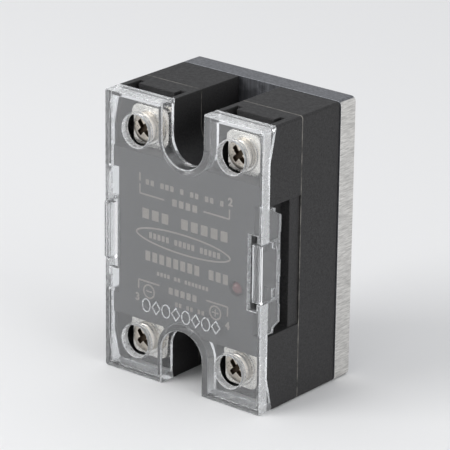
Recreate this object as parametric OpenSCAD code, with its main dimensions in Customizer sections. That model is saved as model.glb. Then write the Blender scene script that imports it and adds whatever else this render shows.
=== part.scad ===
// Solid state relay, panel type, with a clear clip-on terminal cover.
// It stands on its short end: X runs across, Z runs up, and the front faces -Y.
// The origin is the centre of the mounting face, which is the back of the base plate.
// Every "depth" below is a distance in front of that face.

/* [Housing] */
// Width of the black housing and of the clear cover
case_w = 42.8; // [42:0.1:44]
// Height of the black housing and of the clear cover
case_h = 62.8; // [62:0.1:64]
// Radius of the housing's upright corners
case_corner_r = 0.6; // [0.3:0.1:1]
// Wall thickness of both housing shells
case_wall = 1.6; // [1.2:0.1:1.8]
// Depth of the joint line between the rear and front shells
seam_depth = 17.6; // [17.4:0.1:18]
// Depth of the ledge that the cover's skirt sits on
ledge_depth = 27.9; // [27.5:0.1:28]
// Depth of the printed front face
face_depth = 28.6; // [28.3:0.1:28.7]

/* [Base plate] */
// Width of the aluminium plate
plate_w = 43.4; // [43:0.1:45]
// Height of the aluminium plate
plate_h = 63; // [63:0.1:64]
// Thickness of the aluminium plate
plate_t = 5; // [4:0.1:5]
// Radius of the plate's corners
plate_corner_r = 1.2; // [0.5:0.1:2]
// Distance between the two mounting holes
hole_spacing = 47.6; // [47:0.1:48]
// Radius of a mounting hole
hole_r = 2.3; // [2.1:0.1:2.4]

/* [Notches] */
// Radius of the two U-shaped notches that clear the mounting screws
notch_r = 5.6; // [5:0.1:5.8]

/* [Terminals] */
// Distance of a terminal screw from the upright centre line
screw_x = 12.9; // [12.8:0.1:13]
// Distance of a terminal screw from the level centre line
screw_z = 23.7; // [23.6:0.1:23.8]
// Radius of the screw thread
screw_r = 2; // [1.8:0.05:2]
// Radius of the screw head
screw_head_r = 3.3; // [3.1:0.05:3.4]
// Thickness of the screw head
screw_head_t = 1.7; // [1.5:0.1:1.8]
// Depth of the platform that a terminal strap lies on
floor_depth = 23.1; // [23:0.1:23.2]
// Thickness of the metal of the terminal straps
strap_t = 0.9; // [0.6:0.1:1]

/* [Cover] */
// Depth of the cover's front face
cover_depth = 30.4; // [30.2:0.1:30.6]
// Thickness of the cover's front and skirt
cover_t = 1.2; // [1:0.1:1.3]
// Depth of the cover's back edge round the notches
rim_depth = 26.4; // [26.4:0.1:27]
// Radius of the screwdriver holes
access_r = 3.6; // [3.6:0.05:3.8]
// Half height of the front openings beside the grips
window_half_h = 8.3; // [8:0.1:9]
// Half height of a latch
latch_half_h = 6.4; // [6:0.1:6.6]

/* [Hidden] */

$fn = 96;
eps = 0.01;
// A depth well in front of the whole relay, for cuts
far = 40;
// Running gap between pieces that move on each other
run_gap = 0.05;
half_w = case_w / 2;
half_h = case_h / 2;
notch_z = hole_spacing / 2;

// Sealant bead between the plate and the rear shell
sealant_t = 0.2;
rear_depth = plate_t + sealant_t;

// Circuit board, and the step in the rear shell that carries it
board_back = 14;
board_t = 1.6;
board_front = board_back + board_t;
board_step = 1.2;
board_gap = 0.2;

// Spigot that centres the front shell in the rear shell
spigot_l = 1.5;
spigot_t = 1;

// Terminal bays: side walls, inner end and the grooves beside the platform
rim_t = 1.4;
bay_x0 = notch_r + rim_t;
bay_x1 = half_w - 1.9;
bay_z0 = 18.9;
groove_depth = 21;
platform_x0 = 8.4;
platform_x1 = 18.3;

// The front slopes back at both ends, from beside the screws to the ends
end_slope_z = screw_z;
end_depth = 26;

// Side channels that the cover's flaps hang in
channel_x = 18.5;
channel_half_h = 14.3;
channel_back = 20.8;
strip_inset = 0.4;
catch_l = 2.6;
catch_back = 26;
catch_front = 26.8;

// Cover
plate_back = cover_depth - cover_t;
skirt_gap = 0.03;
collar_l = 0.6;
collar_t = 0.4;
flap_back = 24;
flap_half_h = 13.8;
flap_tip_half_h = 11.8;
flap_strip = 0.5;
foot_h = 0.2;
foot_gap_z = [1.9, 8];
window_x = 17.8;
slit = 0.25;

// Latch: it rocks on two round bridges that reach into the skirt beside it
pivot_depth = 28;
pivot_x = half_w - cover_t / 2;
bridge_r = 0.35;
bridge_l = 0.5;
grip_x = 19;
rib_x = 0.2;
rib_pitch = 0.8;
rib_w = 0.45;
rib_h = 0.3;
rib_inset = 0.3;
tongue_back = flap_back + flap_strip + 0.2;
hook_l = 2;
hook_t = 0.9;
hook_reach = 0.6;
hook_gap = 0.1;

// Terminal stack
strap_front = floor_depth + strap_t;
strap_w = 9;
strap_z1 = 28.4;
clamp_back = strap_front + 0.02;
clamp_t = 2;
clamp_w = 9;
head_back = clamp_back + clamp_t + 0.02;
screw_tip = 16;
insert_l = 5;
insert_r = 3.1;
boss_r = 4.2;
leg_w = 4;
leg_z = 19.7;

// Indicator
led_x = 13.7;
led_z = -5.1;
led_r = 1.5;

black = [0.17, 0.17, 0.18];
nickel = [0.78, 0.76, 0.72];
clear = [0.85, 0.88, 0.9, 0.35];

// ---- Helpers ----

// Extrudes a front view from one depth to another
module slab(from, to) {
    translate([0, -from, 0])
        rotate([90, 0, 0])
            linear_extrude(to - from)
                children();
}

// Box given by its X range, depth range and Z range
module block(x, depth, z) {
    translate([x[0], -depth[1], z[0]])
        cube([x[1] - x[0], depth[1] - depth[0], z[1] - z[0]]);
}

// Round bar along Y at a point of the front view
module bar(x, z, r, from, to) {
    translate([x, -from, z])
        rotate([90, 0, 0])
            cylinder(r = r, h = to - from);
}

// Copies of a thing to left and right, and to top and bottom
module both_sides() {
    children();
    mirror([1, 0, 0]) children();
}
module both_ends() {
    children();
    mirror([0, 0, 1]) children();
}

module rounded_rect(w, h, r) {
    square([w - 2 * r, h], center = true);
    square([w, h - 2 * r], center = true);
    for (x = [-1, 1], z = [-1, 1])
        translate([x * (w / 2 - r), z * (h / 2 - r)])
            circle(r);
}

// The two U notches in a front view
module notches(r) {
    for (end = [-1, 1])
        translate([0, end * notch_z]) {
            circle(r);
            translate([-r, end > 0 ? 0 : -half_h])
                square([2 * r, half_h]);
        }
}

// Outline of the housing, drawn in by an inset, and by a rim round the notches
module outline(inset, rim) {
    difference() {
        rounded_rect(case_w - 2 * inset, case_h - 2 * inset, case_corner_r);
        notches(notch_r + (is_undef(rim) ? inset : rim));
    }
}

// Wedges at both ends, from the sloping line that parts the housing and the cover to a given depth
module end_wedges(gap, to) {
    both_ends()
        translate([-half_w - 1, 0, 0])
            rotate([90, 0, 90])
                linear_extrude(case_w + 2)
                    polygon([[-ledge_depth - gap, end_slope_z - eps], [-end_depth - gap, half_h + 0.1],
                             [-to, half_h + 0.1], [-to, end_slope_z - eps]]);
}

// ---- Base and power stage ----

module base_plate() {
    color([0.74, 0.73, 0.71])
        difference() {
            slab(0, plate_t) rounded_rect(plate_w, plate_h, plate_corner_r);
            for (end = [-1, 1])
                bar(0, end * notch_z, hole_r, -1, plate_t + 1);
        }
}

module base_sealant() {
    color([0.3, 0.3, 0.3])
        slab(plate_t, rear_depth)
            difference() {
                outline(0.3);
                outline(1.3);
            }
}

substrate_t = 0.63;
module ceramic_substrate() {
    color("white") block([-13, 13], [plate_t, plate_t + substrate_t], [-11, 11]);
}

pad_depth = plate_t + substrate_t;
pad_t = 0.3;
module copper_pads() {
    color([0.78, 0.45, 0.25]) {
        block([-9, 9], [pad_depth, pad_depth + pad_t], [-9.5, 4]);
        for (x = [-6, 0, 6])
            block([x - 1.4, x + 1.4], [pad_depth, pad_depth + pad_t], [5.5, 10]);
    }
}

triac_back = pad_depth + pad_t;
triac_front = triac_back + 4.6;
lead_z = 8;
module power_triac() {
    color([0.12, 0.12, 0.13]) {
        difference() {
            block([-7.8, 7.8], [triac_back, triac_front], [-9, 4.2]);
            bar(0, -6, 1.7, triac_back - 1, triac_front + 1);
        }
        for (x = [-5.4, 0, 5.4]) {
            block([x - 0.6, x + 0.6], [triac_back + 2, triac_back + 2.7], [4.1, lead_z]);
            block([x - 0.6, x + 0.6], [triac_back + 2, board_front + 0.8], [lead_z - 0.7, lead_z]);
        }
    }
}

potting_front = 9.4;
module potting() {
    color([0.08, 0.08, 0.09])
        difference() {
            slab(plate_t, potting_front) outline(case_wall + 0.1);
            block([-13.1, 13.1], [0, triac_back + 0.1], [-11.1, 11.1]);
            block([-7.9, 7.9], [0, potting_front + 1], [-9.1, lead_z + 0.1]);
        }
}

// ---- Housing ----

module rear_case() {
    color(black)
        difference() {
            slab(rear_depth, seam_depth) outline(0);
            slab(rear_depth - 1, board_back - board_step) outline(case_wall);
            slab(board_back - board_step - 1, board_back + eps) outline(case_wall + board_step);
            slab(board_back, seam_depth + 1) outline(case_wall);
        }
}

// The dip in a housing's front for one terminal, at top right
module bay() {
    block([bay_x0, bay_x1], [floor_depth, far], [bay_z0, half_h + 1]);
    for (x = [[bay_x0, platform_x0], [platform_x1, bay_x1]])
        block(x, [groove_depth, far], [bay_z0, half_h + 1]);
}

module side_channel() {
    block([channel_x, half_w + 1], [channel_back, far], [-channel_half_h, channel_half_h]);
    block([half_w - strip_inset, half_w + 1], [seam_depth - eps, channel_back + eps],
          [-channel_half_h, channel_half_h]);
}

module front_case() {
    color(black) {
        difference() {
            union() {
                slab(seam_depth, ledge_depth) outline(0);
                slab(ledge_depth - eps, face_depth)
                    intersection() {
                        outline(cover_t + 0.15, rim_t + 0.15);
                        square([case_w, 2 * bay_z0], center = true);
                    }
                slab(seam_depth - spigot_l, seam_depth + eps)
                    difference() {
                        outline(case_wall + 0.1);
                        outline(case_wall + 0.1 + spigot_t);
                    }
            }
            end_wedges(0, far);
            // Lower seat for the cover's notch rims
            slab(rim_depth, far) notches(notch_r + rim_t + 0.15);
            both_ends()
                block([-bay_x0 - eps, bay_x0 + eps], [rim_depth, far], [bay_z0, half_h + 1]);
            both_sides() {
                both_ends() bay();
                side_channel();
            }
            // Hollow behind the bays, and the deeper hollow behind the printed face
            slab(seam_depth - eps, groove_depth - case_wall) outline(case_wall + 0.1 + spigot_t);
            slab(seam_depth - eps, face_depth - case_wall)
                intersection() {
                    outline(case_wall + 0.4, case_wall + 1);
                    square([2 * (channel_x - case_wall), 2 * (bay_z0 - case_wall)], center = true);
                }
            bar(led_x, led_z, led_r + 0.1, 20, far);
            for (x = [-1, 1], z = [-1, 1]) {
                bar(x * screw_x, z * screw_z, insert_r, 10, far);
                strap_leg_hole(x, z);
            }
        }
        // Bosses round the threaded inserts
        for (x = [-1, 1], z = [-1, 1])
            difference() {
                bar(x * screw_x, z * screw_z, boss_r,
                    floor_depth - insert_l, groove_depth - case_wall + eps);
                bar(x * screw_x, z * screw_z, insert_r, 10, far);
                strap_leg_hole(x, z);
            }
        // Catches for the latch hooks, on the floor of each side channel
        both_sides()
            both_ends()
                block([channel_x - eps, half_w - cover_t - hook_reach - hook_gap],
                      [catch_back, catch_front], [latch_half_h - catch_l + 0.2, latch_half_h + 0.2]);
    }
}

// ---- Circuit ----

module board_slot(x, z) {
    block([x - 1.1, x + 1.1], [board_back - 1, board_front + 1], [z - 0.55, z + 0.55]);
}

module driver_board() {
    color([0.05, 0.3, 0.16])
        difference() {
            slab(board_back, board_front) outline(case_wall + board_gap);
            for (x = [-5.4, 0, 5.4])
                block([x - 0.8, x + 0.8], [board_back - 1, board_front + 1], [lead_z - 0.9, lead_z + 0.2]);
            for (x = [-1, 1], z = [-1, 1])
                board_slot(x * screw_x, z * leg_z);
        }
}

module optocoupler() {
    color([0.1, 0.1, 0.1]) {
        block([-4.5, 4.5], [board_front + 0.5, board_front + 4], [-8.2, -1.8]);
        for (x = [-2.54, 0, 2.54], z = [-9, -1])
            block([x - 0.3, x + 0.3], [board_front, board_front + 2.6],
                  z < -5 ? [z, z + 0.9] : [z - 0.9, z]);
    }
}

module snubber_capacitor() {
    color([0.75, 0.55, 0.2]) block([-15.5, -10.5], [board_front, board_front + 9.5], [-2, 11]);
}

module gate_transistor() {
    color([0.1, 0.1, 0.1]) {
        difference() {
            bar(8, -13, 2.4, board_front + 2, board_front + 7);
            block([5, 11], [board_front, board_front + 8], [-16, -14.4]);
        }
        for (x = [6.73, 8, 9.27])
            block([x - 0.22, x + 0.22], [board_front, board_front + 2.1], [-13.2, -12.8]);
    }
}

// Axial part lying on the board: body along X with a bent lead at each end
wire_r = 0.25;
wire_reach = 1.2;
module axial(x, z, body_r, body_l) {
    lift = body_r + 0.2;
    translate([x, -board_front, z])
        both_sides() {
            translate([0, -lift, 0])
                rotate([0, 90, 0])
                    cylinder(r = body_r, h = body_l / 2, $fn = 48);
            translate([0, -lift - wire_r, -wire_r])
                cube([body_l / 2 + wire_reach, 2 * wire_r, 2 * wire_r]);
            translate([body_l / 2 + wire_reach - 2 * wire_r, -lift - wire_r, -wire_r])
                cube([2 * wire_r, lift + wire_r, 2 * wire_r]);
        }
}

module resistors() {
    color([0.8, 0.7, 0.5])
        for (z = [4.4, 7.4, 10.4])
            axial(11.5, z, 1.15, 6.3);
}

module diodes() {
    color([0.15, 0.15, 0.15])
        for (x = [-11, -2])
            axial(x, -13, 1.3, 4.2);
}

led_flange_depth = face_depth - case_wall - 1.1;
led_top = face_depth + 0.3;
module indicator_led() {
    color([0.55, 0.12, 0.1]) {
        translate([led_x, -led_flange_depth, led_z])
            rotate([90, 0, 0])
                rotate_extrude()
                    difference() {
                        union() {
                            square([led_r + 0.35, 1]);
                            square([led_r, led_top - led_flange_depth - led_r]);
                            translate([0, led_top - led_flange_depth - led_r]) circle(led_r);
                        }
                        translate([-5, -5]) square([5, 20]);
                        translate([-5, -5]) square([20, 5]);
                    }
        for (x = [-1.27, 1.27])
            block([led_x + x - 0.25, led_x + x + 0.25], [board_front, led_flange_depth + eps],
                  [led_z - 0.25, led_z + 0.25]);
    }
}

// ---- Terminals ----

module threaded_inserts() {
    color([0.72, 0.58, 0.3])
        for (x = [-1, 1], z = [-1, 1])
            difference() {
                bar(x * screw_x, z * screw_z, insert_r, floor_depth - insert_l, floor_depth);
                bar(x * screw_x, z * screw_z, screw_r + run_gap, 0, far);
            }
}

module strap_leg_hole(x, z) {
    block([x * screw_x - leg_w / 2 - 0.1, x * screw_x + leg_w / 2 + 0.1], [10, far],
          [z * leg_z - strap_t / 2 - 0.1, z * leg_z + strap_t / 2 + 0.1]);
}

// Bent strap: a pad under the clamp and a leg down to the board, at top right and mirrored by signs
module strap(x, z) {
    pad = [[screw_x - strap_w / 2, screw_x + strap_w / 2], [leg_z - strap_t / 2, strap_z1]];
    color(nickel)
        mirror([x < 0 ? 1 : 0, 0, 0])
            mirror([0, 0, z < 0 ? 1 : 0]) {
                difference() {
                    block(pad[0], [floor_depth, strap_front], pad[1]);
                    bar(screw_x, screw_z, screw_r + 0.25, 0, far);
                }
                block([screw_x - leg_w / 2, screw_x + leg_w / 2], [board_front, strap_front],
                      [leg_z - strap_t / 2, leg_z + strap_t / 2]);
                block([screw_x - 1, screw_x + 1], [board_back - 1, board_front + 1],
                      [leg_z - strap_t / 2, leg_z + strap_t / 2]);
            }
}
module load_strap_1() strap(-1, 1);
module load_strap_2() strap(1, 1);
module input_strap_3() strap(-1, -1);
module input_strap_4() strap(1, -1);

// Square clamp washer with rounded corners and a shallow raised ring round the screw
module clamp(x, z) {
    color(nickel)
        difference() {
            union() {
                translate([x * screw_x, 0, z * screw_z])
                    slab(clamp_back, clamp_back + clamp_t - 0.3)
                        rounded_rect(clamp_w, clamp_w, 1.8);
                bar(x * screw_x, z * screw_z, 3.9, clamp_back, clamp_back + clamp_t);
            }
            bar(x * screw_x, z * screw_z, screw_r + 0.1, 0, far);
        }
}
module clamp_1() clamp(-1, 1);
module clamp_2() clamp(1, 1);
module clamp_3() clamp(-1, -1);
module clamp_4() clamp(1, -1);

// Cross-recess screw: domed head, threaded shank, chamfered tip
recess_w = 1.1;
recess_l = 4.2;
recess_t = 1.2;
head_crown = 0.7;
tip_chamfer = 0.5;
shank_l = head_back - screw_tip + eps;
module screw(x, z) {
    dome_r = (screw_head_r * screw_head_r + head_crown * head_crown) / (2 * head_crown);
    color(nickel)
        difference() {
            translate([x * screw_x, -head_back, z * screw_z])
                rotate([90, 0, 0])
                    rotate_extrude() {
                        intersection() {
                            square([screw_head_r, screw_head_t]);
                            translate([0, screw_head_t - dome_r]) circle(dome_r, $fn = 200);
                        }
                        translate([0, screw_tip - head_back])
                            polygon([[0, 0], [screw_r - tip_chamfer, 0], [screw_r, tip_chamfer],
                                     [screw_r, shank_l], [0, shank_l]]);
                    }
            translate([x * screw_x, -head_back - screw_head_t - 1, z * screw_z])
                rotate([0, 45, 0])
                    for (turn = [0, 90])
                        rotate([0, turn, 0])
                            translate([-recess_l / 2, 0, -recess_w / 2])
                                cube([recess_l, recess_t + 1, recess_w]);
        }
}
module screw_1() screw(-1, 1);
module screw_2() screw(1, 1);
module screw_3() screw(-1, -1);
module screw_4() screw(1, -1);

// ---- Clear cover and its latches ----

// Tapered flap that hangs from the right skirt into the side channel, on three low feet
module flap() {
    difference() {
        translate([half_w - cover_t, 0, 0])
            rotate([90, 0, 90])
                linear_extrude(cover_t)
                    polygon([[-plate_back, -flap_half_h], [-plate_back, flap_half_h],
                             [-ledge_depth, flap_half_h], [-flap_back, flap_tip_half_h],
                             [-flap_back, -flap_tip_half_h], [-ledge_depth, -flap_half_h]]);
        both_ends()
            block([half_w - cover_t - 1, half_w + 1], [0, flap_back + foot_h], foot_gap_z);
    }
}

module terminal_cover() {
    color(clear)
        difference() {
            union() {
                // Front, skirt and notch rims as one tray
                difference() {
                    slab(end_depth, cover_depth) outline(0);
                    slab(0, plate_back) outline(cover_t, rim_t);
                }
                both_sides() flap();
                for (x = [-1, 1], z = [-1, 1])
                    bar(x * screw_x, z * screw_z, access_r + collar_t,
                        plate_back - collar_l, plate_back + eps);
            }
            skirt_trim();
            for (x = [-1, 1], z = [-1, 1])
                bar(x * screw_x, z * screw_z, access_r, 0, far);
            both_sides() {
                // Opening in the front beside the grip
                block([window_x, half_w - cover_t], [plate_back - 1, far], [-window_half_h, window_half_h]);
                // Window that the latch fills
                block([window_x, half_w + 1], [flap_back + flap_strip, far],
                      [-latch_half_h - slit, latch_half_h + slit]);
                both_ends() bridge(bridge_r + run_gap, bridge_l + run_gap);
            }
        }
}

// Trims the skirt's back edge to the ledge and end slopes, but leaves the flaps and notch rims
module skirt_trim() {
    difference() {
        union() {
            block([-half_w - 1, half_w + 1], [0, ledge_depth + skirt_gap], [-end_slope_z, end_slope_z]);
            end_wedges(skirt_gap, 0);
        }
        both_sides()
            block([half_w - cover_t - eps, half_w + 2], [0, far], [-flap_half_h, flap_half_h]);
        slab(rim_depth + skirt_gap, far) notches(notch_r + rim_t + eps);
    }
}

// Round bridge from the top of the right latch into the skirt
module bridge(r, l) {
    translate([pivot_x, -pivot_depth, latch_half_h - eps])
        cylinder(r = r, h = slit + l + eps);
}

// Right latch: ribbed grip at the corner, tongue along the side, two hooks at its back edge
module latch_right() {
    color(clear) {
        both_ends() bridge(bridge_r, bridge_l);
        block([half_w - cover_t, half_w], [tongue_back, cover_depth], [-latch_half_h, latch_half_h]);
        block([grip_x, half_w - cover_t + eps], [cover_depth - cover_t, cover_depth],
              [-latch_half_h, latch_half_h]);
        for (i = [0:2])
            block([grip_x + rib_x + i * rib_pitch, grip_x + rib_x + i * rib_pitch + rib_w],
                  [cover_depth - eps, cover_depth + rib_h],
                  [rib_inset - latch_half_h, latch_half_h - rib_inset]);
        both_ends()
            block([half_w - cover_t - hook_reach, half_w - cover_t + eps],
                  [tongue_back, tongue_back + hook_t], [latch_half_h - hook_l, latch_half_h]);
    }
}
module latch_left() mirror([1, 0, 0]) latch_right();

base_plate();
base_sealant();
ceramic_substrate();
copper_pads();
power_triac();
potting();
rear_case();
front_case();
driver_board();
optocoupler();
snubber_capacitor();
gate_transistor();
resistors();
diodes();
indicator_led();
threaded_inserts();
load_strap_1();
load_strap_2();
input_strap_3();
input_strap_4();
terminal_cover();
latch_left();
latch_right();
clamp_1();
clamp_2();
clamp_3();
clamp_4();
screw_1();
screw_2();
screw_3();
screw_4();
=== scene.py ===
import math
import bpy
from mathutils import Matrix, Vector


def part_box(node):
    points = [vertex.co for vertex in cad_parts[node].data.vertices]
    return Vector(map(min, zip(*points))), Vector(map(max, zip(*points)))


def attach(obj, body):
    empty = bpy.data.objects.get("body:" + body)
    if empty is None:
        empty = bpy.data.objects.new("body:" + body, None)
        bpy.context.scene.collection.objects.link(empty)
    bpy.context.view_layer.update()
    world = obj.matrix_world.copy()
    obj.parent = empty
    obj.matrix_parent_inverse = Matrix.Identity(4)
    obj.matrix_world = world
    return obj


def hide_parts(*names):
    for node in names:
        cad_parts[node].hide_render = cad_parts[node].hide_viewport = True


bl_info = {
    "name": "Solid State Relay",
    "version": (1, 0, 0),
    "blender": (4, 5, 0),
    "location": "View3D > Sidebar > Relay",
    "description": "Finishes a panel relay: housing, terminals, clear cover, print and a studio",
    "category": "Object",
}

import bpy
from bpy.props import FloatProperty, FloatVectorProperty, PointerProperty
from mathutils import Matrix, Vector

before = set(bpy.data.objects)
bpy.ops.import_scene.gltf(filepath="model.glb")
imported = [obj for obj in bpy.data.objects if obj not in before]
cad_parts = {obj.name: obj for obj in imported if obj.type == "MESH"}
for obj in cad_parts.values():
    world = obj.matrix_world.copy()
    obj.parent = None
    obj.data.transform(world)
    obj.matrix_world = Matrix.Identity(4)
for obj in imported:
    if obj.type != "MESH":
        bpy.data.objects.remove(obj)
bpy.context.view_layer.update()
MM = 0.001

# ---- Places, read from the frame ----

FLOOR_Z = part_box("base_plate")[0].z
COVER_LOW, COVER_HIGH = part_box("terminal_cover")
COVER_Y = COVER_LOW.y
SEAM_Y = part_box("rear_case")[0].y
FACE_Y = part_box("front_case")[0].y
SCREW_LOW, SCREW_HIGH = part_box("screw_2")
SCREW_PLACE = (SCREW_LOW + SCREW_HIGH) / 2

# ---- Places on the shapes, which mirror from side to side and from top to bottom ----

# The notches at both ends: their half width, and how far from the middle their round ends lie
NOTCH_R = 5.6 * MM
NOTCH_Z = 23.8 * MM
# The cover's screwdriver holes, and the openings in its front beside the latches
ACCESS_R = 3.6 * MM
WINDOW_X = 17.8 * MM
WINDOW_Z = 8.3 * MM
# The outer edge of the cover's front lies within this of its sides
RIM_REACH = 0.7 * MM
# The cover's skirt ends here, and only its flaps and latches go on behind it, this near its sides
SKIRT_Y = FACE_Y + 0.7 * MM
FLAP_REACH = 1.25 * MM
# A point is on an edge, and the middle of a face is on a wall, when it lies this near it
ON_EDGE = 0.03 * MM
ON_WALL = 0.15 * MM

# ---- Threads and recesses of the terminal screws ----

THREAD_PITCH = 0.7 * MM
THREAD_R = 2.0 * MM
THREAD_DEPTH = 0.32 * MM
TIP_R = THREAD_R - 0.55 * MM
# The cross recess lies within this of the axis, and its floor is deeper than this in the head
RECESS_R = 2.4 * MM
RECESS_DEPTH = 0.8 * MM


# ---- Settings ----


class RelaySizes(bpy.types.PropertyGroup):
    """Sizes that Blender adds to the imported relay"""

    housing_round: FloatProperty(
        name="Housing rounding",
        description="Radius of the rounded edges of the black housing",
        default=0.14 * MM,
        subtype="DISTANCE",
    )
    plate_round: FloatProperty(
        name="Plate rounding",
        description="Radius of the broken edges of the aluminium plate",
        default=0.18 * MM,
        subtype="DISTANCE",
    )
    cover_round: FloatProperty(
        name="Cover rounding",
        description="Radius of the rounded edge round the front of the clear cover",
        default=0.35 * MM,
        subtype="DISTANCE",
    )
    opening_round: FloatProperty(
        name="Opening rounding",
        description="Radius of the rounded edges of the holes and openings in the cover's front",
        default=0.18 * MM,
        subtype="DISTANCE",
    )
    moulding_round: FloatProperty(
        name="Moulding rounding",
        description="Radius of the small edges of the clear cover and its latches",
        default=0.07 * MM,
        subtype="DISTANCE",
    )
    metal_round: FloatProperty(
        name="Metal rounding",
        description="Radius of the broken edges of straps, clamps and screws",
        default=0.12 * MM,
        subtype="DISTANCE",
    )
    ink_height: FloatProperty(
        name="Ink height",
        description="How far the print stands on the face",
        default=0.02 * MM,
        subtype="DISTANCE",
    )
    line_width: FloatProperty(
        name="Line width",
        description="Width of the printed lines and rings",
        default=0.36 * MM,
        subtype="DISTANCE",
    )
    motif_height: FloatProperty(
        name="Motif height",
        description="How far the raised pattern stands on the clear cover",
        default=0.15 * MM,
        subtype="DISTANCE",
    )


class RelayColours(bpy.types.PropertyGroup):
    """Colours of the relay's finishes"""

    housing: FloatVectorProperty(
        name="Housing",
        description="Black moulded plastic",
        default=(0.0205, 0.020, 0.0205),
        subtype="COLOR",
    )
    # The face colour is the housing's black, lifted by painted frontal light
    face: FloatVectorProperty(
        name="Printed face",
        description="Smoother plastic of the front face",
        default=(0.038, 0.0375, 0.0385),
        subtype="COLOR",
    )
    ink: FloatVectorProperty(
        name="Ink",
        description="Print on the front face",
        default=(0.37, 0.33, 0.285),
        subtype="COLOR",
    )
    aluminium: FloatVectorProperty(
        name="Aluminium",
        description="Base plate",
        default=(0.62, 0.61, 0.59),
        subtype="COLOR",
    )
    # Darker than the sawn sides as painted shade; the drawn streaks are the plate's own
    mill_finish: FloatVectorProperty(
        name="Mill finish",
        description="Duller drawn faces of the base plate",
        default=(0.20, 0.205, 0.22),
        subtype="COLOR",
    )
    nickel: FloatVectorProperty(
        name="Nickel",
        description="Plated straps and clamps",
        default=(0.80, 0.77, 0.72),
        subtype="COLOR",
    )
    screw: FloatVectorProperty(
        name="Screw",
        description="Plated terminal screws",
        default=(0.72, 0.66, 0.58),
        subtype="COLOR",
    )
    # Colour painted into the cross recess as its shade
    recess: FloatVectorProperty(
        name="Screw recess",
        description="Dull metal inside the cross recess of a screw",
        default=(0.10, 0.075, 0.055),
        subtype="COLOR",
    )
    lamp: FloatVectorProperty(
        name="Lamp",
        description="Tinted lens of the indicator",
        default=(0.15, 0.005, 0.006),
        subtype="COLOR",
    )
    clear: FloatVectorProperty(
        name="Clear plastic",
        description="Cover and latches",
        default=(0.96, 0.97, 0.98),
        subtype="COLOR",
    )


def sizes():
    """The sizes set in the panel"""
    return bpy.context.scene.relay_sizes


def colours():
    """The colours set in the panel"""
    return bpy.context.scene.relay_colours


# ---- Materials ----


class Finish:
    """A new material with a Principled shader, and short calls that add procedural detail to it"""

    def __init__(self, name, colour, roughness, metallic=0.0):
        self.material = bpy.data.materials.new(name)
        self.material.use_nodes = True
        self.tree = self.material.node_tree
        self.shader = self.tree.nodes["Principled BSDF"]
        self.set("Base Color", (*colour, 1.0))
        self.set("Roughness", roughness)
        self.set("Metallic", metallic)
        self.colour = tuple(colour)
        self.coordinates = self.tree.nodes.new("ShaderNodeTexCoord").outputs["Object"]

    def set(self, socket, value):
        """Sets one of the shader's own sockets"""
        self.shader.inputs[socket].default_value = value
        return self

    def node(self, kind, **settings):
        """Adds a node with the given settings"""
        made = self.tree.nodes.new(kind)
        for key, value in settings.items():
            setattr(made, key, value)
        return made

    def join(self, source, target):
        self.tree.links.new(source, target)

    def noise(self, size, detail=3.0, stretch=(1, 1, 1), turn=(0, 0, 0)):
        """Noise whose grains are about size metres across, stretched and turned"""
        place = self.node("ShaderNodeMapping")
        place.inputs["Rotation"].default_value = turn
        place.inputs["Scale"].default_value = stretch
        self.join(self.coordinates, place.inputs["Vector"])
        made = self.node("ShaderNodeTexNoise")
        made.inputs["Scale"].default_value = 1 / size
        made.inputs["Detail"].default_value = detail
        self.join(place.outputs["Vector"], made.inputs["Vector"])
        return made.outputs["Fac"]

    def spread(self, source, low, high):
        """Maps the greys that noise mostly has to a range of values"""
        made = self.node("ShaderNodeMapRange")
        made.inputs["From Min"].default_value = 0.3
        made.inputs["From Max"].default_value = 0.7
        made.inputs["To Min"].default_value = low
        made.inputs["To Max"].default_value = high
        self.join(source, made.inputs["Value"])
        return made.outputs["Result"]

    def shade(self, source, low, high):
        """Lets a pattern darken and lighten the colour, by the two factors"""
        ramp = self.node("ShaderNodeMix", data_type="RGBA")
        ramp.inputs["A"].default_value = (*[c * low for c in self.colour], 1)
        ramp.inputs["B"].default_value = (*[min(1, c * high) for c in self.colour], 1)
        self.join(self.spread(source, 0, 1), ramp.inputs["Factor"])
        self.join(ramp.outputs["Result"], self.shader.inputs["Base Color"])
        return self

    def roughen(self, source, low, high):
        """Lets a pattern vary the roughness between two values"""
        self.join(self.spread(source, low, high), self.shader.inputs["Roughness"])
        return self

    def bump(self, source, depth):
        """Gives the surface relief of about depth metres"""
        made = self.node("ShaderNodeBump")
        made.inputs["Distance"].default_value = depth
        self.join(source, made.inputs["Height"])
        self.join(made.outputs["Normal"], self.shader.inputs["Normal"])
        return self


def black_plastic():
    """Black plastic with the fine grain of a spark-eroded mould"""
    made = Finish("black_plastic", colours().housing, 0.55)
    made.set("Specular IOR Level", 0.3)
    made.shade(made.noise(0.35 * MM, 4), 0.6, 1.55)
    made.roughen(made.noise(0.8 * MM, 4), 0.5, 0.64)
    made.bump(made.noise(0.3 * MM, 3), 0.012 * MM)
    return made.material


def scuffed_plastic():
    """The same plastic, painted pale on the rounded edges along the joint line of the shells as a
    painted highlight, broken up by large noise
    """
    made = Finish("scuffed_plastic", (0.11, 0.105, 0.095), 0.6)
    made.shade(made.noise(2.5 * MM, 5), 0.1, 2.0)
    made.roughen(made.noise(0.8 * MM, 3), 0.5, 0.7)
    made.bump(made.noise(0.3 * MM, 3), 0.01 * MM)
    return made.material


def printed_face_plastic():
    """Smoother black plastic under the print, its colour lifted above the housing's as painted
    frontal light
    """
    made = Finish("printed_face", colours().face, 0.45)
    made.shade(made.noise(0.3 * MM, 3), 0.93, 1.07)
    made.roughen(made.noise(2 * MM, 3), 0.4, 0.5)
    made.bump(made.noise(0.3 * MM, 2), 0.003 * MM)
    return made.material


def face_ink():
    """Pad-printed ink, slightly worn"""
    made = Finish("face_ink", colours().ink, 0.6)
    made.shade(made.noise(0.25 * MM, 3), 0.8, 1.1)
    made.roughen(made.noise(0.5 * MM, 3), 0.5, 0.65)
    return made.material


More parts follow.
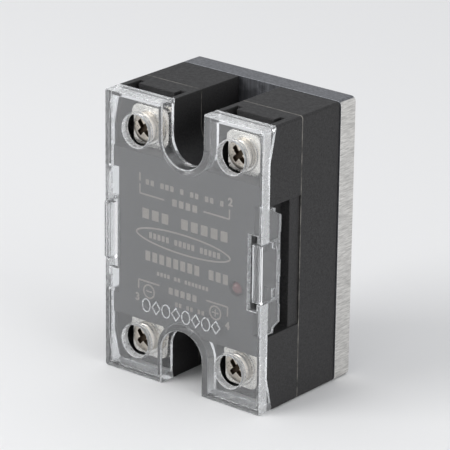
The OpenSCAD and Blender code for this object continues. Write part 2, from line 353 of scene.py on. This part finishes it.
def sawn_aluminium():
    """Cut sides of the plate, with the slanted marks of a saw"""
    made = Finish("sawn_aluminium", colours().aluminium, 0.4, 1.0)
    marks = made.noise(0.24 * MM, 4, stretch=(1, 0.12, 1), turn=(math.radians(-25), 0, 0))
    made.shade(marks, 0.74, 1.22)
    made.roughen(made.noise(1.5 * MM, 4), 0.42, 0.6)
    made.bump(marks, 0.05 * MM)
    return made.material


def drawn_aluminium():
    """Mill finish of the plate's other faces, drawn along its height, with its colour darkened well
    below the sawn sides as painted shade
    """
    made = Finish("drawn_aluminium", colours().mill_finish, 0.5, 1.0)
    drawn = made.noise(0.5 * MM, 5, stretch=(1, 1, 0.06))
    made.shade(drawn, 0.75, 1.25)
    made.roughen(made.noise(1.5 * MM, 4), 0.42, 0.58)
    made.bump(drawn, 0.012 * MM)
    return made.material


def plated(name, colour, roughness=(0.2, 0.34)):
    """Bare or plated metal with slightly cloudy colour and sheen"""
    made = Finish(name, colour, roughness[0], 1.0)
    made.shade(made.noise(1.2 * MM, 4), 0.88, 1.04)
    made.roughen(made.noise(0.5 * MM, 4), *roughness)
    made.bump(made.noise(0.15 * MM, 3), 0.004 * MM)
    return made.material


def clear_plastic():
    """Clear moulded plastic with a faint haze"""
    made = Finish("clear_plastic", colours().clear, 0.04)
    made.set("Transmission Weight", 0.94)
    made.set("IOR", 1.49)
    made.roughen(made.noise(3 * MM, 3), 0.02, 0.06)
    made.bump(made.noise(5 * MM, 2), 0.008 * MM)
    return made.material


def frosted_plastic():
    """The same plastic with a matt surface, on the skirt, the edges and the raised pattern"""
    made = Finish("frosted_plastic", colours().clear, 0.3)
    made.set("Transmission Weight", 0.6)
    made.set("IOR", 1.49)
    made.roughen(made.noise(1.2 * MM, 3), 0.2, 0.34)
    made.bump(made.noise(2.5 * MM, 2), 0.003 * MM)
    return made.material


def tinted_lens():
    """Moulded lens of the indicator, smooth and lightly coated"""
    made = Finish("tinted_lens", colours().lamp, 0.25)
    made.set("Coat Weight", 0.3)
    made.set("Coat Roughness", 0.15)
    made.shade(made.noise(1 * MM, 2), 0.85, 1.1)
    return made.material


def moulded(name, colour, roughness):
    """Plain finish of a hidden part: slightly uneven colour, sheen and surface"""
    grain = 0.3 * MM
    made = Finish(name, colour, roughness)
    made.shade(made.noise(grain * 8, 4), 0.85, 1.1)
    made.roughen(made.noise(grain * 3, 3), roughness * 0.85, min(1, roughness * 1.15))
    made.bump(made.noise(grain, 3), 0.01 * MM)
    return made.material


# ---- Modelling helpers ----


def deselect():
    """Leaves edit mode and selects nothing"""
    if bpy.context.mode != "OBJECT":
        bpy.ops.object.mode_set(mode="OBJECT")
    bpy.ops.object.select_all(action="DESELECT")


def pick(obj):
    """Selects one object alone and makes it active"""
    deselect()
    obj.select_set(True)
    bpy.context.view_layer.objects.active = obj
    return obj


def refine(obj, kind, **settings):
    """Adds a modifier and applies it"""
    pick(obj)
    bpy.ops.object.modifier_add(type=kind)
    modifier = obj.modifiers[-1]
    for key, value in settings.items():
        setattr(modifier, key, value)
    bpy.ops.object.modifier_apply(modifier=modifier.name)
    return obj


def clean_copy(node, name):
    """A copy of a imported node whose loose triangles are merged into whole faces"""
    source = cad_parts[node]
    made = bpy.data.objects.new(name, source.data.copy())
    bpy.context.scene.collection.objects.link(made)
    made.data.materials.clear()
    pick(made)
    bpy.ops.object.mode_set(mode="EDIT")
    bpy.ops.mesh.select_all(action="SELECT")
    bpy.ops.mesh.remove_doubles(threshold=0.002 * MM)
    bpy.ops.mesh.dissolve_limited(angle_limit=math.radians(1))
    bpy.ops.object.mode_set(mode="OBJECT")
    return made


def lying(obj, test):
    """Goes into edit mode with only the edges selected whose two ends pass a test on their place"""
    pick(obj)
    mesh = obj.data
    for part in (mesh.vertices, mesh.edges, mesh.polygons):
        part.foreach_set("select", [False] * len(part))
    inside = [test(vertex.co) for vertex in mesh.vertices]
    for edge in mesh.edges:
        edge.select = inside[edge.vertices[0]] and inside[edge.vertices[1]]
    bpy.ops.object.mode_set(mode="EDIT")
    bpy.ops.mesh.select_mode(type="EDGE")


def join(name, *objs):
    """Makes one piece of several objects"""
    pick(objs[0])
    for obj in objs[1:]:
        obj.select_set(True)
    bpy.ops.object.join()
    objs[0].name = name
    return objs[0]


def flat_bar(low, high, y, height):
    """A thin bar that stands on a front-facing plane, given by two corners (x, z)"""
    deselect()
    centre = ((low[0] + high[0]) / 2, y - height / 2, (low[1] + high[1]) / 2)
    bpy.ops.mesh.primitive_cube_add(size=1, location=centre)
    bar = bpy.context.object
    bar.scale = (high[0] - low[0], height, high[1] - low[1])
    bpy.ops.object.transform_apply(location=True, rotation=True, scale=True)
    return bar


def flat_ring(centre, half, width, y, height, points=64):
    """A ring that stands on a front-facing plane: an ellipse or, with few points, a lozenge"""
    deselect()
    bpy.ops.mesh.primitive_circle_add(
        vertices=points,
        radius=1,
        fill_type="NGON",
        location=(centre[0], y, centre[1]),
        rotation=(math.radians(90), 0, 0),
    )
    ring = bpy.context.object
    ring.scale = (half[0], half[1], 1)
    bpy.ops.object.transform_apply(location=True, rotation=True, scale=True)
    bpy.ops.object.mode_set(mode="EDIT")
    bpy.ops.mesh.select_mode(type="FACE")
    bpy.ops.mesh.select_all(action="SELECT")
    bpy.ops.mesh.inset(thickness=width)
    bpy.ops.mesh.delete(type="FACE")
    bpy.ops.mesh.select_all(action="SELECT")
    bpy.ops.mesh.extrude_region_move(TRANSFORM_OT_translate={"value": (0, -height, 0)})
    bpy.ops.mesh.select_all(action="SELECT")
    bpy.ops.mesh.normals_make_consistent(inside=False)
    bpy.ops.object.mode_set(mode="OBJECT")
    return ring


def printed_digit(digit, place, size, y, height):
    """A plain numeral as a thin solid on a front-facing plane"""
    deselect()
    bpy.ops.object.text_add(location=(place[0], y, place[1]), rotation=(math.radians(90), 0, 0))
    text = bpy.context.object
    text.data.body = str(digit)
    text.data.size = size
    text.data.align_x = "CENTER"
    text.data.align_y = "CENTER"
    text.data.extrude = height
    text.data.offset = 0.1 * MM
    bpy.ops.object.convert(target="MESH")
    text = bpy.context.object
    bpy.ops.object.transform_apply(location=True, rotation=True, scale=True)
    bpy.ops.object.mode_set(mode="EDIT")
    bpy.ops.mesh.select_all(action="SELECT")
    bpy.ops.mesh.remove_doubles(threshold=0.001 * MM)
    bpy.ops.mesh.normals_make_consistent(inside=False)
    bpy.ops.object.mode_set(mode="OBJECT")
    return text


def threaded_shank(axis, tip, top):
    """A threaded shank along Y, built ring by ring from its tip"""
    deselect()
    radius = TIP_R
    bpy.ops.mesh.primitive_circle_add(
        vertices=32,
        radius=radius,
        fill_type="NGON",
        location=(axis[0], tip, axis[1]),
        rotation=(math.radians(90), 0, 0),
    )
    shank = bpy.context.object
    bpy.ops.object.transform_apply(location=True, rotation=True, scale=True)
    bpy.ops.object.mode_set(mode="EDIT")
    bpy.ops.mesh.select_mode(type="FACE")
    bpy.ops.mesh.select_all(action="SELECT")
    turns = int((tip - top) / THREAD_PITCH)
    step = (tip - top) / (2 * turns)
    place = tip
    for ring in range(2 * turns):
        wanted = THREAD_R if ring % 2 == 0 else THREAD_R - THREAD_DEPTH
        place -= step
        bpy.ops.mesh.extrude_region_move(TRANSFORM_OT_translate={"value": (0, -step, 0)})
        bpy.ops.transform.resize(
            value=(wanted / radius, 1, wanted / radius),
            center_override=(axis[0], place, axis[1]),
        )
        radius = wanted
    bpy.ops.mesh.select_all(action="SELECT")
    bpy.ops.mesh.normals_make_consistent(inside=False)
    bpy.ops.object.mode_set(mode="OBJECT")
    return shank


def round_edges(obj, radius):
    """Rounds every edge that turns by more than 35 degrees"""
    return refine(
        obj,
        "BEVEL",
        width=radius,
        segments=2,
        limit_method="ANGLE",
        angle_limit=math.radians(35),
        use_clamp_overlap=False,
        harden_normals=False,
    )


def paint(obj, *materials):
    """Gives an object these materials and no others"""
    obj.data.materials.clear()
    for material in materials:
        obj.data.materials.append(material)


def finish_piece(obj, body, stands_for=()):
    """Bakes the piece's place into its mesh, smooths it, and ties it to its body"""
    pick(obj)
    bpy.ops.object.transform_apply(location=True, rotation=True, scale=True)
    bpy.ops.object.shade_smooth_by_angle(angle=math.radians(40))
    refine(obj, "WEIGHTED_NORMAL", keep_sharp=True)
    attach(obj, body)
    if stands_for:
        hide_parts(*stands_for)
    return obj


# ---- Pieces ----


class RELAY_OT_housing(bpy.types.Operator):
    """Round the edges of both housing shells and give them their moulded grain"""

    bl_idname = "relay.housing"
    bl_label = "Housing"

    def execute(self, context):
        grain = black_plastic()
        face = printed_face_plastic()
        seam_highlight = scuffed_plastic()
        for node, name in (("rear_case", "rear_shell"), ("front_case", "front_shell")):
            shell = clean_copy(node, name)
            round_edges(shell, sizes().housing_round)
            paint(shell, grain, face, seam_highlight)
            for polygon in shell.data.polygons:
                from_face = abs(polygon.center.y - FACE_Y)
                from_seam = abs(polygon.center.y - SEAM_Y)
                slanted = 0.2 < abs(polygon.normal.y) < 0.97
                # The flat front gets the face material, whose lifted colour is painted frontal
                # light
                front = polygon.normal.y < -0.99 and from_face < 0.05 * MM
                # Bevel faces along the joint line get the pale material, a painted highlight
                seam = from_seam < 0.16 * MM and slanted
                polygon.material_index = 1 if front else 2 if seam else 0
            finish_piece(shell, "relay", (node,))
        return {"FINISHED"}


class RELAY_OT_plate(bpy.types.Operator):
    """Break the edges of the aluminium plate and give it its sawn finish"""

    bl_idname = "relay.plate"
    bl_label = "Base plate"

    def execute(self, context):
        plate = clean_copy("base_plate", "aluminium_plate")
        round_edges(plate, sizes().plate_round)
        paint(plate, drawn_aluminium(), sawn_aluminium())
        # Faces that don't look sideways get the darker colour, which is painted shade
        for polygon in plate.data.polygons:
            sawn = abs(polygon.normal.x) > 0.7
            polygon.material_index = 1 if sawn else 0
        finish_piece(plate, "relay", ("base_plate",))
        return {"FINISHED"}


class RELAY_OT_terminals(bpy.types.Operator):
    """Make the straps, clamps and screws"""

    bl_idname = "relay.terminals"
    bl_label = "Terminals"

    def execute(self, context):
        nickel = plated("nickel_plating", colours().nickel)
        steel = plated("screw_plating", colours().screw, (0.24, 0.4))
        recess_shade = plated("shaded_recess", colours().recess, (0.4, 0.6))
        straps = ("load_strap_1", "load_strap_2", "input_strap_3", "input_strap_4")
        for n, node in enumerate(straps, 1):
            strap = round_edges(clean_copy(node, f"strap_{n}"), sizes().metal_round)
            paint(strap, nickel)
            finish_piece(strap, "relay", (node,))
            plate = round_edges(clean_copy(f"clamp_{n}", f"clamp_plate_{n}"), sizes().metal_round)
            paint(plate, nickel)
            finish_piece(plate, f"clamp_{n}", (f"clamp_{n}",))

            # The screw keeps its packed head, and its plain shank gives way to a threaded one
            low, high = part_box(f"screw_{n}")
            head_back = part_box(f"clamp_{n}")[0].y
            head = clean_copy(f"screw_{n}", f"terminal_screw_{n}")
            bpy.ops.object.mode_set(mode="EDIT")
            bpy.ops.mesh.select_all(action="SELECT")
            bpy.ops.mesh.bisect(
                plane_co=(0, head_back, 0), plane_no=(0, 1, 0), clear_outer=True
            )
            # The head's back lies in the cut, so only the hole left in it is closed
            bpy.ops.mesh.select_all(action="SELECT")
            bpy.ops.mesh.fill_holes(sides=0)
            bpy.ops.mesh.select_all(action="SELECT")
            bpy.ops.mesh.normals_make_consistent(inside=False)
            bpy.ops.object.mode_set(mode="OBJECT")
            round_edges(head, sizes().metal_round)
            middle = (low + high) / 2
            paint(head, steel, recess_shade)
            # The walls and floor of the cross recess are painted dark as their shade
            for polygon in head.data.polygons:
                x, y, z = polygon.center
                inside = math.hypot(x - middle.x, z - middle.z) < RECESS_R
                wall = abs(polygon.normal.y) < 0.6
                sunk = wall or y > low.y + RECESS_DEPTH
                above_back = y < head_back - 0.2 * MM
                polygon.material_index = 1 if inside and sunk and above_back else 0
            overlap = 0.05 * MM
            shank = threaded_shank((middle.x, middle.z), high.y, head_back - overlap)
            paint(shank, steel)
            screw = join(f"terminal_screw_{n}", head, shank)
            finish_piece(screw, f"screw_{n}", (f"screw_{n}",))
        return {"FINISHED"}


def on_front_rim(place):
    """True on the outer edge of the cover's front, and round its notches"""
    if abs(place.y - COVER_Y) > ON_EDGE:
        return False
    beside = abs(place.x) > COVER_HIGH.x - RIM_REACH
    above = abs(place.z) > COVER_HIGH.z - RIM_REACH
    from_round_end = max(0.0, NOTCH_Z - abs(place.z))
    notch = abs(math.hypot(place.x, from_round_end) - NOTCH_R) < ON_EDGE
    return beside or above or notch


def from_access(place):
    """How far a place lies from the rim of the nearest screwdriver hole, seen from the front"""
    from_screw = math.hypot(abs(place.x) - SCREW_PLACE.x, abs(place.z) - SCREW_PLACE.z)
    return abs(from_screw - ACCESS_R)


def on_opening(place):
    """True on the front edge of the screwdriver holes and of the openings beside the latches"""
    if abs(place.y - COVER_Y) > ON_EDGE:
        return False
    beside_latch = abs(place.x) > WINDOW_X - ON_EDGE and abs(place.z) < WINDOW_Z + ON_EDGE
    return from_access(place) < ON_EDGE or beside_latch


def is_edge(polygon):
    """True on the narrow edges of the flaps and latches that hang in the side channels"""
    place = polygon.center
    flap = abs(place.x) > COVER_HIGH.x - FLAP_REACH and place.y > SKIRT_Y
    narrow = abs(polygon.normal.x) < 0.5
    return flap and narrow


def is_matt(polygon):
    """True on the cover's skirt and rounded edges, and on the walls of its holes and openings"""
    place = polygon.center
    lean = abs(polygon.normal.y)
    if is_edge(polygon):
        return True
    if lean > 0.1:
        rounded = lean < 0.95
        return rounded and place.y < COVER_Y + sizes().cover_round
    beside = abs(place.x) > COVER_HIGH.x - ON_WALL
    above = abs(place.z) > COVER_HIGH.z - ON_WALL
    skirt = place.y < SKIRT_Y and (beside or above)
    hole = from_access(place) < ON_WALL
    opening = abs(abs(place.x) - WINDOW_X) < ON_WALL and abs(place.z) < WINDOW_Z + ON_WALL
    return skirt or hole or opening


def raised_motif():
    """A plain row of outlined shapes, ovals and lozenges by turns, on the cover's front"""
    sunk = 0.02 * MM
    height = sizes().motif_height + sunk
    line = 0.22 * MM
    first, pitch, row = -9.6, 2.74, -14.5
    oval = (1.2 * MM, 1.55 * MM), 32
    lozenge = (1.25 * MM, 1.6 * MM), 4
    shapes = []
    for i in range(8):
        centre = ((first + pitch * i) * MM, row * MM)
        half, points = lozenge if i % 2 else oval
        shapes.append(flat_ring(centre, half, line, COVER_Y + sunk, height, points))
    return join("raised_motif", *shapes)


class RELAY_OT_print(bpy.types.Operator):
    """Print the numbers, the signs, the brackets and plain bars on the front face"""

    bl_idname = "relay.print"
    bl_label = "Print"

    def execute(self, context):
        ink = sizes().ink_height
        line = sizes().line_width
        marks = []

        def bar(start, end, z, height):
            """A plain bar from one x to another, in millimetres"""
            low = (start * MM, (z - height / 2) * MM)
            high = (end * MM, (z + height / 2) * MM)
            marks.append(flat_bar(low, high, FACE_Y, ink))

        def row(start, end, z, height, count, spaces=()):
            """A row of equal upright blocks, with some of them left out"""
            pitch = (end - start) / count
            for i in range(count):
                if i not in spaces:
                    bar(start + i * pitch, start + (i + 0.68) * pitch, z, height)

        def bracket(corner, reach, tick):
            """Two thin lines from a corner: one along X and one along Z"""
            x, z = (v * MM for v in corner)
            left, right = sorted((x, x + reach * MM))
            low, high = sorted((z, z + tick * MM))
            half = line / 2
            marks.append(flat_bar((left, z - half), (right, z + half), FACE_Y, ink))
            marks.append(flat_bar((x - half, low), (x + half, high), FACE_Y, ink))

        digits = ((1, -12.6, 13.4), (2, 12.0, 13.5), (3, -13.2, -13.9), (4, 11.6, -14.0))
        for digit, x, z in digits:
            marks.append(printed_digit(digit, (x * MM, z * MM), 2.4 * MM, FACE_Y, ink))
        row(-11.0, 10.6, 12.7, 1.2, 16, (2, 6, 8, 11, 14))
        bracket((-12.6, 9.8), 6.7, 2.1)
        row(-3.7, 3.7, 9.8, 1.6, 4)
        bracket((11.8, 9.8), -7.0, 2.1)
        row(-11.9, 12.2, 5.6, 2.3, 9, (3,))
        middle, half = (-0.7 * MM, 1.05 * MM), (13.0 * MM, 2.35 * MM)
        marks.append(flat_ring(middle, half, line, FACE_Y, ink, points=96))
        row(-10.0, 9.8, 1.0, 1.3, 17, (5, 11))
        row(-11.0, 12.2, -3.8, 2.2, 12, (8,))
        row(-7.8, 6.6, -7.2, 0.9, 15, (4, 7))
        bracket((-12.9, -9.75), 5.8, -2.1)
        row(-4.5, 3.7, -10.2, 1.5, 5)
        bracket((11.6, -9.75), -5.8, -2.1)
        # A minus and a plus sign, each in a ring
        sign_z, sign_r, stroke, reach = -11.9, 1.65, 0.3, 1.7
        for x, plus in ((-10.0, False), (8.3, True)):
            half = (sign_r * MM, sign_r * MM)
            marks.append(flat_ring((x * MM, sign_z * MM), half, line, FACE_Y, ink))
            bar(x - reach / 2, x + reach / 2, sign_z, stroke)
            if plus:
                bar(x - stroke / 2, x + stroke / 2, sign_z, reach)
        row(-2.7, 5.6, -12.9, 1.0, 8, (2, 5))
        printed = join("face_print", *marks)
        paint(printed, face_ink())
        finish_piece(printed, "relay")
        return {"FINISHED"}


class RELAY_OT_cover(bpy.types.Operator):
    """Make the clear cover and its two latches"""

    bl_idname = "relay.cover"
    bl_label = "Clear cover"

    def execute(self, context):
        clear = clear_plastic()
        frosted = frosted_plastic()
        for node, name, body in (
            ("terminal_cover", "clear_cover", "cover"),
            ("latch_left", "squeeze_latch_left", "latch_left"),
            ("latch_right", "squeeze_latch_right", "latch_right"),
        ):
            piece = clean_copy(node, name)
            if body == "cover":
                lying(piece, on_front_rim)
                bpy.ops.mesh.bevel(offset=sizes().cover_round, segments=3, affect="EDGES")
                bpy.ops.object.mode_set(mode="OBJECT")
                lying(piece, on_opening)
                bpy.ops.mesh.bevel(offset=sizes().opening_round, segments=2, affect="EDGES")
                # The skirt is parted from the flaps, so that it can have its own finish
                bpy.ops.mesh.select_all(action="SELECT")
                bpy.ops.mesh.bisect(plane_co=(0, SKIRT_Y, 0), plane_no=(0, 1, 0))
                bpy.ops.object.mode_set(mode="OBJECT")
            round_edges(piece, sizes().moulding_round)
            paint(piece, clear, frosted)
            for polygon in piece.data.polygons:
                matt = is_matt(polygon) if body == "cover" else is_edge(polygon)
                polygon.material_index = 1 if matt else 0
            finish_piece(piece, body, (node,))
        raised = raised_motif()
        paint(raised, frosted)
        finish_piece(raised, "cover")
        return {"FINISHED"}


class RELAY_OT_inside(bpy.types.Operator):
    """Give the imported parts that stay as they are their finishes"""

    bl_idname = "relay.inside"
    bl_label = "Inner parts"

    def execute(self, context):
        epoxy = moulded("moulded_epoxy", (0.03, 0.03, 0.032), 0.5)
        finishes = {
            "base_sealant": moulded("cured_silicone", (0.25, 0.25, 0.25), 0.6),
            "ceramic_substrate": moulded("fired_alumina", (0.85, 0.84, 0.8), 0.55),
            "copper_pads": plated("bare_copper", (0.75, 0.42, 0.28), (0.25, 0.4)),
            "power_triac": epoxy,
            "potting": moulded("cast_resin", (0.025, 0.025, 0.027), 0.15),
            "driver_board": moulded("solder_mask", (0.02, 0.16, 0.08), 0.3),
            "optocoupler": epoxy,
            "snubber_capacitor": moulded("dipped_film", (0.62, 0.4, 0.1), 0.3),
            "gate_transistor": epoxy,
            "resistors": moulded("lacquer", (0.66, 0.52, 0.34), 0.4),
            "diodes": epoxy,
            "indicator_led": tinted_lens(),
            "threaded_inserts": plated("turned_brass", (0.78, 0.6, 0.3), (0.2, 0.35)),
        }
        for node, material in finishes.items():
            paint(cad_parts[node], material)
        return {"FINISHED"}


class RELAY_OT_stage(bpy.types.Operator):
    """Set up the floor, the lights and the camera"""

    bl_idname = "relay.stage"
    bl_label = "Studio"

    def execute(self, context):
        scene = context.scene
        deselect()
        floor_side = 4
        bpy.ops.mesh.primitive_plane_add(size=1, location=(0, 0, FLOOR_Z))
        floor = context.object
        floor.name = "studio_floor"
        floor.scale = (floor_side, floor_side, 1)
        paper = Finish("pale_paper", (0.82, 0.82, 0.82), 0.8)
        paper.bump(paper.noise(0.6 * MM, 3), 0.02 * MM)
        paint(floor, paper.material)

        world = bpy.data.worlds.new("studio_light")
        world.use_nodes = True
        sky = world.node_tree.nodes["Background"].inputs
        sky["Color"].default_value = (0.93, 0.94, 0.96, 1)
        sky["Strength"].default_value = 0.78
        scene.world = world
        scene.view_settings.view_transform = "Standard"

        softbox_side = 0.5
        for name, place, power in (
            ("front_softbox", (-0.35, -0.6, 0.45), 3.5),
            ("side_softbox", (0.75, -0.1, 0.12), 2.4),
        ):
            bpy.ops.object.light_add(type="AREA", location=place)
            lamp = context.object
            lamp.name = name
            lamp.data.size = softbox_side
            lamp.data.energy = power
            lamp.rotation_euler = (-Vector(place)).to_track_quat("-Z", "Y").to_euler()

        camera = bpy.data.objects.new("camera", bpy.data.cameras.new("camera"))
        scene.collection.objects.link(camera)
        azimuth, elevation, roll = (math.radians(v) for v in (39.3, 20.36, 0.7))
        distance = 655.4 * MM
        back = Vector((
            math.sin(azimuth) * math.cos(elevation),
            -math.cos(azimuth) * math.cos(elevation),
            math.sin(elevation),
        ))
        target = Vector((-1.75, -14, 1.0)) * MM
        turn = back.to_track_quat("Z", "Y").to_matrix().to_4x4() @ Matrix.Rotation(roll, 4, "Z")
        camera.matrix_world = Matrix.Translation(target + back * distance) @ turn
        camera.data.lens = 246.0
        camera.data.sensor_width = 36
        camera.data.clip_start = 0.01
        scene.camera = camera
        return {"FINISHED"}


class RELAY_PT_panel(bpy.types.Panel):
    """Lists the steps and the settings"""

    bl_label = "Relay"
    bl_idname = "RELAY_PT_panel"
    bl_space_type = "VIEW_3D"
    bl_region_type = "UI"
    bl_category = "Relay"

    def draw(self, context):
        for operator in OPERATORS:
            self.layout.operator(operator.bl_idname)
        for group in (sizes(), colours()):
            for key in group.bl_rna.properties.keys():
                if key not in ("rna_type", "name"):
                    self.layout.prop(group, key)


OPERATORS = (
    RELAY_OT_housing,
    RELAY_OT_plate,
    RELAY_OT_terminals,
    RELAY_OT_print,
    RELAY_OT_cover,
    RELAY_OT_inside,
    RELAY_OT_stage,
)
CLASSES = (RelaySizes, RelayColours, *OPERATORS, RELAY_PT_panel)


def register():
    """Makes the settings, the operators and the panel known"""
    for one in CLASSES:
        bpy.utils.register_class(one)
    bpy.types.Scene.relay_sizes = PointerProperty(type=RelaySizes)
    bpy.types.Scene.relay_colours = PointerProperty(type=RelayColours)


def unregister():
    """Takes them away again"""
    del bpy.types.Scene.relay_colours
    del bpy.types.Scene.relay_sizes
    for one in reversed(CLASSES):
        bpy.utils.unregister_class(one)


def main():
    """Runs every step in order"""
    register()
    for operator in OPERATORS:
        group, name = operator.bl_idname.split(".")
        getattr(getattr(bpy.ops, group), name)()


if __name__ == "__main__":
    main()
